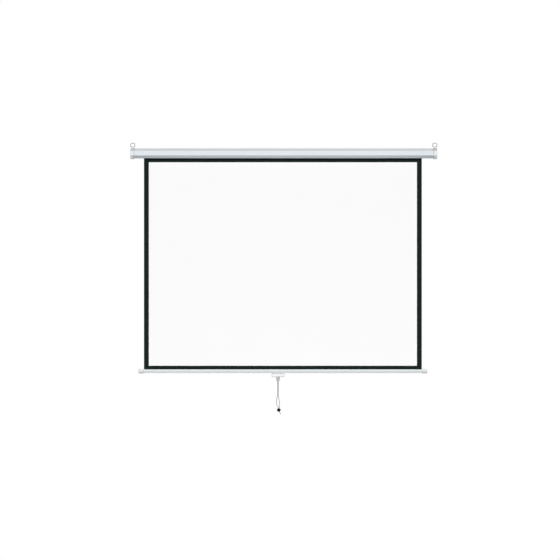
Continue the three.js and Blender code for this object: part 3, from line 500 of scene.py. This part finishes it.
MATERIALS = {
    "case_paint": powder_coat("case_paint", (0.72, 0.77, 0.81), top_dust_and_shade=0.64, underside_shade=0.25),
    "bar_paint": powder_coat("bar_paint", (0.71, 0.75, 0.76), top_dust_and_shade=0.15),
    "cap_plastic": moulded_plastic("cap_plastic", (0.84, 0.85, 0.86), 0.45),
    # The handle's wide, dark edges are a painted shaded outline
    "handle_plastic": moulded_plastic("handle_plastic", (0.90, 0.90, 0.90), 0.5,
                                      edge_reach=HANDLE_EDGE_REACH, edge_dirt_and_shade=0.75),
    # A darker copy of the cap plastic: painted shade on the bar's caps
    "bar_cap_plastic_shaded": moulded_plastic("bar_cap_plastic_shaded", (0.76, 0.78, 0.785), 0.45, edge_dirt_and_shade=0.5),
    "socket_plastic": moulded_plastic("socket_plastic", (0.49, 0.495, 0.50), 0.5),
    "grey_plastic": moulded_plastic("grey_plastic", (0.26, 0.28, 0.29), 0.50),
    "nylon": moulded_plastic("nylon", (0.76, 0.74, 0.66), 0.45),
    "cord_melted": moulded_plastic("cord_melted", (0.16, 0.155, 0.15), 0.4, grain=1400.0),
    "galvanised_steel": metal("galvanised_steel", (0.62, 0.63, 0.63), 0.42, DRAWN_MARKS, scale=40.0),
    "zinc_steel": metal("zinc_steel", (0.22, 0.223, 0.23), 0.34, EVEN_MARKS, scale=260.0),
    "spring_steel": metal("spring_steel", (0.22, 0.22, 0.23), 0.40, EVEN_MARKS, scale=200.0),
    "border_cloth": woven_cloth("border_cloth", (0.0085, 0.0165, 0.0142), pitch=0.9 * MM,
                                depth=0.12 * MM, roughness=0.9, fade=0.2),
    "picture_cloth": woven_cloth("picture_cloth", (0.965, 0.965, 0.965), pitch=0.6 * MM,
                                 depth=0.03 * MM, roughness=0.9, fade=0.01),
    "cord_grey": cord_yarn("cord_grey", (0.40, 0.40, 0.405)),
    "ball_black": glossy_black("ball_black"),
}


# White mouldings with a tone of their own: the handle a little paler than the case's end caps, the bar's
# caps greyer as painted shade
TONE_AND_SHADE = {
    "pull_handle": "handle_plastic",
    "bar_cap_left": "bar_cap_plastic_shaded",
    "bar_cap_right": "bar_cap_plastic_shaded",
}


def dress_nodes():
    """Gives each CAD node its slot's material, smooth where its facets stand for a curve."""
    slot_of = {row["node"]: row["material_slot"] for row in frame["record"]["subparts"]}
    for name, piece in frame["nodes"].items():
        piece.data.materials.clear()
        piece.data.materials.append(MATERIALS[TONE_AND_SHADE.get(name, slot_of[name])])
        piece.data.shade_smooth()
        piece.data.set_sharp_from_angle(angle=math.radians(NODE_SHARP_ANGLE))


def cord_places():
    """Middles of the knot in the socket, of the ball and of the end knot."""
    knot = centre_of("cord_top_knot")
    ball = Vector((knot.x + BALL_SHIFT, knot.y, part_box("cord_socket")[0].z - BALL_DROP))
    return knot, ball, ball - Vector((0.0, 0.0, END_KNOT_DROP))


def strand_points(side):
    """Route of one strand of the cord, from the knot in the socket down into the ball."""
    knot, ball, end_knot = cord_places()
    top = -TOP_KNOT_RADIUS - FIT_GAP
    spreads = LEFT_SPREADS if side < 0 else RIGHT_SPREADS
    straight = side * STRAND_HALF_GAP
    points = [(straight, top), (straight, top - TOP_KNOT_RISE), (straight, -STRAND_DROPS[0] * MM / 2)]
    points += [(spread * MM, -drop * MM) for spread, drop in zip(spreads, STRAND_DROPS)]
    middle = ball - knot
    ledge = end_knot.z + END_KNOT_RADIUS + FIT_GAP - knot.z
    points += [(middle.x + straight, middle.z + BALL_RADIUS), (middle.x + straight, ledge)]
    return [Vector((x, 0.0, z)) + knot for x, z in points]


def make_knot(name, centre, radius):
    """Knot pulled tight inside a given radius: a trefoil, scaled by how far its formula reaches."""
    wire = CORD_DIAMETER * KNOT_CORD_SHARE
    size = (radius - wire) / TREFOIL_REACH
    points = []
    for i in range(KNOT_STEPS + 1):
        t = 2 * math.pi * i / KNOT_STEPS
        x = math.sin(t) + 2 * math.sin(2 * t)
        z = math.cos(t) - 2 * math.cos(2 * t)
        points.append(centre + Vector((x, -math.sin(3 * t), z)) * size)
    return tube(name, points, wire, CORD_SIDES, MATERIALS["cord_grey"], braid)


def make_tail(knot_centre):
    """Short cut end of the cord below the end knot, melted to a bulb."""
    end = knot_centre + Vector((TAIL_SPREAD, 0.0, -TAIL_LENGTH))
    bow = (knot_centre + end) / 2 + Vector((TAIL_BOW, 0.0, 0.0))
    line = catmull_rom([knot_centre, bow, end], CORD_STEP)
    tail = tube("cord_tail", line, CORD_DIAMETER / 2, CORD_SIDES, MATERIALS["cord_grey"], braid)
    down = (end - bow).normalized()
    heights = [-math.cos(math.pi * (i + 0.5) / (BULB_STEPS + 1)) for i in range(BULB_STEPS + 1)]
    core = [end + down * (height * TAIL_BULB_RADIUS) for height in heights]

    def bulge(angle, distance):
        height = heights[0] + distance / TAIL_BULB_RADIUS
        return math.sqrt(max(0.0, 1.0 - min(1.0, abs(height)) ** 2)) + BULB_TIP_SHARE

    bulb = tube("cord_tail_bulb", core, TAIL_BULB_RADIUS, CORD_SIDES, MATERIALS["cord_melted"], bulge)
    return tail, bulb


def eased_edge(radius, height, outward):
    """Quarter round from a bore's wall to the ball's skin: outward is 1 at the top, -1 at the foot."""
    edge = []
    for i in range(EASE_STEPS + 1):
        turn = math.pi / 2 * i / EASE_STEPS
        out = BALL_EASE * (1 - math.cos(turn))
        down = BALL_EASE * (1 - math.sin(turn))
        edge.append((radius + out, height - outward * down))
    return edge


def ball_profile():
    """Closed outline of the ball's half section: radius and height, down its skin and up its bores."""
    top_angle = math.asin((BALL_BORE + BALL_EASE) / BALL_RADIUS)
    foot_angle = math.pi - math.asin((BALL_SEAT + BALL_EASE) / BALL_RADIUS)
    profile = []
    for i in range(1, BALL_STEPS):
        angle = top_angle + (foot_angle - top_angle) * i / BALL_STEPS
        profile.append((BALL_RADIUS * math.sin(angle), BALL_RADIUS * math.cos(angle)))
    ledge = -END_KNOT_DROP + END_KNOT_RADIUS + FIT_GAP
    profile += reversed(eased_edge(BALL_SEAT, BALL_RADIUS * math.cos(foot_angle), -1))
    profile += [(BALL_SEAT, ledge), (BALL_BORE, ledge)]
    return profile + eased_edge(BALL_BORE, BALL_RADIUS * math.cos(top_angle), 1)


def make_ball(centre):
    """Black ball with both bores eased where they meet its skin."""
    profile = ball_profile()
    verts = []
    faces = []
    for i, (radius, height) in enumerate(profile):
        for k in range(BALL_SIDES):
            angle = 2 * math.pi * k / BALL_SIDES
            verts.append(centre + Vector((radius * math.cos(angle), radius * math.sin(angle), height)))
        following = (i + 1) % len(profile)
        faces += band(following * BALL_SIDES, i * BALL_SIDES, BALL_SIDES)
    ball = link_mesh("ball_turned", verts, faces, MATERIALS["ball_black"])
    ball.data.set_sharp_from_angle(angle=math.radians(BALL_SHARP_ANGLE))
    return ball


def ride_cord(piece, node):
    """Hangs a piece of the cord on the cord's body."""
    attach(piece, "pull_cord")
    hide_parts(node)


def make_cords():
    """The doubled cord: two strands with the ball and the knots on them."""
    knot, ball_centre, end_centre = cord_places()
    ball = make_ball(ball_centre)
    ride_cord(ball, "cord_ball")
    end_pieces = [make_knot("end_knot_rope", end_centre, END_KNOT_RADIUS), *make_tail(end_centre)]
    for piece in end_pieces:
        ride_cord(piece, "cord_end_knot")
    ride_cord(make_knot("top_knot_rope", knot, TOP_KNOT_RADIUS), "cord_top_knot")
    for side, name in ((-1, "left"), (1, "right")):
        points = catmull_rom(strand_points(side), CORD_STEP)
        rope = "strand_rope_" + name
        strand = tube(rope, points, CORD_DIAMETER / 2, CORD_SIDES, MATERIALS["cord_grey"], braid)
        ride_cord(strand, "cord_strand_" + name)


def ring_points():
    """Outline of a hanging ring, from one side of its seam round to the other."""
    half_wide = RING_WIDTH / 2
    half = [(RING_SEAM / 2, 0.0), (STRAP_WIDTH / 4, 0.0), (STRAP_WIDTH / 2, 0.0)]
    foot_corner = (RING_FOOT_CORNER, RING_FOOT_CORNER, -90.0)
    top_corner = (RING_TOP_CORNER, RING_HEIGHT - RING_TOP_CORNER, 0.0)
    for radius, rise, start in (foot_corner, top_corner):
        for i in range(RING_ARC_POINTS + 1):
            angle = math.radians(start + 90.0 * i / RING_ARC_POINTS)
            half.append((half_wide - radius + radius * math.cos(angle), rise + radius * math.sin(angle)))
    return half + [(-x, z) for x, z in reversed(half)]


def make_rings():
    """Smooth wire rings in the straps on the end caps."""
    for side in ("left", "right"):
        low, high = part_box("hanger_ring_" + side)
        foot = Vector(((low.x + high.x) / 2, (low.y + high.y) / 2, low.z + RING_WIRE / 2))
        points = catmull_rom([foot + Vector((x, 0.0, z)) for x, z in ring_points()], RING_STEP)
        ring = tube("ring_wire_" + side, points, RING_WIRE / 2, RING_SIDES, MATERIALS["zinc_steel"])
        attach(ring, "hanger_" + side)
        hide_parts("hanger_ring_" + side)


def cloth_wave(x_share, z_share):
    """How far the cloth stands off its plane, always away from the roller: ripples, calm at both ends."""
    calm = math.sin(math.pi * min(1.0, z_share * CALM_SPAN_SHARE)) ** CALM_POWER
    slow, quick = [math.sin(2 * math.pi * (across * x_share + up * z_share) + start)
                   for across, up, start in (SLOW_WAVE, QUICK_WAVE)]
    return WAVE_HEIGHT * calm * (1.0 + QUICK_WAVE_SHARE + slow + QUICK_WAVE_SHARE * quick)


def lines_between(marks, count):
    """Grid lines that include every mark, spread about evenly."""
    total = marks[-1] - marks[0]
    lines = [marks[0]]
    for a, b in zip(marks, marks[1:]):
        steps = max(1, round(count * (b - a) / total))
        lines += [a + (b - a) * i / steps for i in range(1, steps + 1)]
    return lines


def cloth_points(columns, rows, middle_y):
    """Points of the cloth's front and then of its back, row by row."""
    points = []
    for layer in (-1, 1):
        for z in rows:
            for x in columns:
                x_share = (x - columns[0]) / (columns[-1] - columns[0])
                z_share = (z - rows[0]) / (rows[-1] - rows[0])
                y = middle_y + cloth_wave(x_share, z_share) + layer * CLOTH_THICKNESS / 2
                points.append((x, y, z))
    return points


def cloth_rim(wide, tall):
    """Indexes of the front's outer points, once round."""
    rim = list(range(wide))
    rim += [r * wide + wide - 1 for r in range(1, tall)]
    rim += [(tall - 1) * wide + c for c in range(wide - 2, -1, -1)]
    return rim + [r * wide for r in range(tall - 2, 0, -1)]


def cloth_faces(columns, rows, pic_low, pic_high):
    """Faces of the closed cloth, and for each its material: 1 on the picture and 0 elsewhere."""
    wide, tall = len(columns), len(rows)
    back = wide * tall
    faces, slots = [], []
    for r in range(tall - 1):
        for c in range(wide - 1):
            a, b = r * wide + c, r * wide + c + 1
            d, e = (r + 1) * wide + c + 1, (r + 1) * wide + c
            in_picture = pic_low.x <= (columns[c] + columns[c + 1]) / 2 <= pic_high.x
            in_picture = in_picture and pic_low.z <= (rows[r] + rows[r + 1]) / 2 <= pic_high.z
            faces += [(a, b, d, e), (back + e, back + d, back + b, back + a)]
            slots += [1 if in_picture else 0, 0]
    rim = cloth_rim(wide, tall)
    for a, b in zip(rim, rim[1:] + rim[:1]):
        faces.append((b, a, back + a, back + b))
        slots.append(0)
    return faces, slots


def make_cloth():
    """The hanging cloth: white picture, black surround and black back, one thin closed sheet."""
    low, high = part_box("black_border")
    pic_low, pic_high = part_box("picture_cloth")
    columns = lines_between([low.x, pic_low.x, pic_high.x, high.x], CLOTH_COLUMNS)
    rows = lines_between([low.z, pic_low.z, pic_high.z, high.z], CLOTH_ROWS)
    verts = cloth_points(columns, rows, (low.y + high.y) / 2)
    faces, slots = cloth_faces(columns, rows, pic_low, pic_high)
    cloth = link_mesh("cloth_sheet", verts, faces, MATERIALS["border_cloth"])
    cloth.data.materials.append(MATERIALS["picture_cloth"])
    cloth.data.polygons.foreach_set("material_index", slots)
    cloth.data.set_sharp_from_angle(angle=math.radians(CLOTH_SHARP_ANGLE))
    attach(cloth, "case")
    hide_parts("black_border", "picture_cloth")
    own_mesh(cloth)


def add_sun(name, azimuth, elevation, strength, softness):
    """Soft distant lamp, given by where it stands as seen from the object."""
    data = bpy.data.lights.new(name, "SUN")
    data.energy = strength
    data.angle = math.radians(softness)
    lamp = bpy.data.objects.new(name, data)
    a, e = math.radians(azimuth), math.radians(elevation)
    towards = Vector((math.sin(a) * math.cos(e), -math.cos(a) * math.cos(e), math.sin(e)))
    lamp.rotation_mode = "QUATERNION"
    lamp.rotation_quaternion = towards.to_track_quat("Z", "Y")
    bpy.context.scene.collection.objects.link(lamp)


def light_scene():
    """Soft studio light, mostly from the front, under a white surround."""
    for lamp in LAMPS:
        add_sun(**lamp)
    world = bpy.data.worlds.new("white_surround")
    bpy.context.scene.world = world
    world.use_nodes = True
    tree = Nodes(world.node_tree)
    rays = tree.add("ShaderNodeLightPath").outputs
    seen = tree.maths("MAXIMUM", rays["Is Camera Ray"], rays["Is Transmission Ray"])
    glossy = tree.maths("MULTIPLY", rays["Is Glossy Ray"], WORLD_IN_GLOSS)
    level = tree.maths("MAXIMUM", tree.maths("MAXIMUM", seen, glossy), WORLD_FILL)
    background = tree.nodes["Background"].inputs
    tree.feed(background["Color"], (1.0, 1.0, 1.0, 1.0))
    tree.feed(background["Strength"], level)


def make_floor():
    """Pale studio floor below the hanging object. Seen directly it is white where no shadow falls."""
    s = Shader("floor_pale")
    s.set(Base_Color=FLOOR_GREY, Roughness=0.9, Specular_IOR_Level=0.1)
    rays = s.add("ShaderNodeLightPath")
    seen = s.maths("MAXIMUM", rays.outputs["Is Camera Ray"], rays.outputs["Is Glossy Ray"])
    white = s.add("ShaderNodeEmission", Strength=s.maths("MULTIPLY", seen, FLOOR_GLOW))
    both = s.add("ShaderNodeAddShader")
    s.feed(both.inputs[0], s.surface.outputs["BSDF"])
    s.feed(both.inputs[1], white.outputs["Emission"])
    s.feed(s.nodes["Material Output"].inputs["Surface"], both.outputs["Shader"])
    signs = [(-1, -1), (1, -1), (1, 1), (-1, 1)]
    corners = [(a * FLOOR_HALF_WIDTH, b * FLOOR_HALF_DEPTH, FLOOR_HEIGHT) for a, b in signs]
    floor = link_mesh("studio_floor", corners, [(0, 1, 2, 3)], s.material, smooth=False)


make_camera()
dress_nodes()
make_cords()
make_rings()
make_cloth()
light_scene()
make_floor()
bpy.context.scene.view_settings.view_transform = "Standard"
